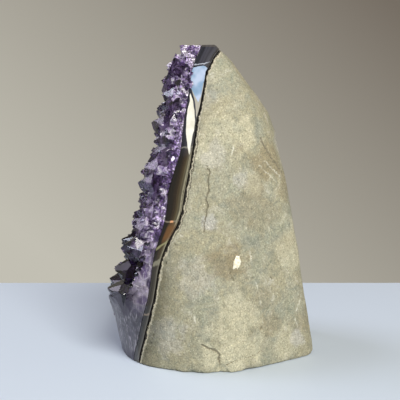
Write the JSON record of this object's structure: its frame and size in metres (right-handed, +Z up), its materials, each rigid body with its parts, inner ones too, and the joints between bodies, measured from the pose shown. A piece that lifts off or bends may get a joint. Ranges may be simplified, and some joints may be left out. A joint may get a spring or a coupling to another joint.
{
  "type": "amethyst geode",
  "caption": "Standing amethyst geode section with a sawn flat base: basalt back, agate lining and a leaning front of pointed crystals inside a ground and polished rim.",
  "frame": {"origin": "on the sawn base, under the middle of the bounding box", "axes": "+Z up, along the stone's height; the crystals face -Y; the side with the wider show of agate and basalt in the reference view faces +X"},
  "size_m": [0.1032, 0.1114, 0.1649],
  "materials": {
    "basalt": "matte, mottled sage grey-green with tan patches",
    "agate": "ground and polished, banded dark grey, olive brown and milky blue",
    "amethyst": "clear purple quartz, darker at the tips and cloudy white at the root, cut and polished at the rim"
  },
  "bodies": {
    "root": {"basalt_matrix": "basalt", "agate_lining": "agate", "amethyst_druse": "amethyst"}
  },
  "joints": []
}
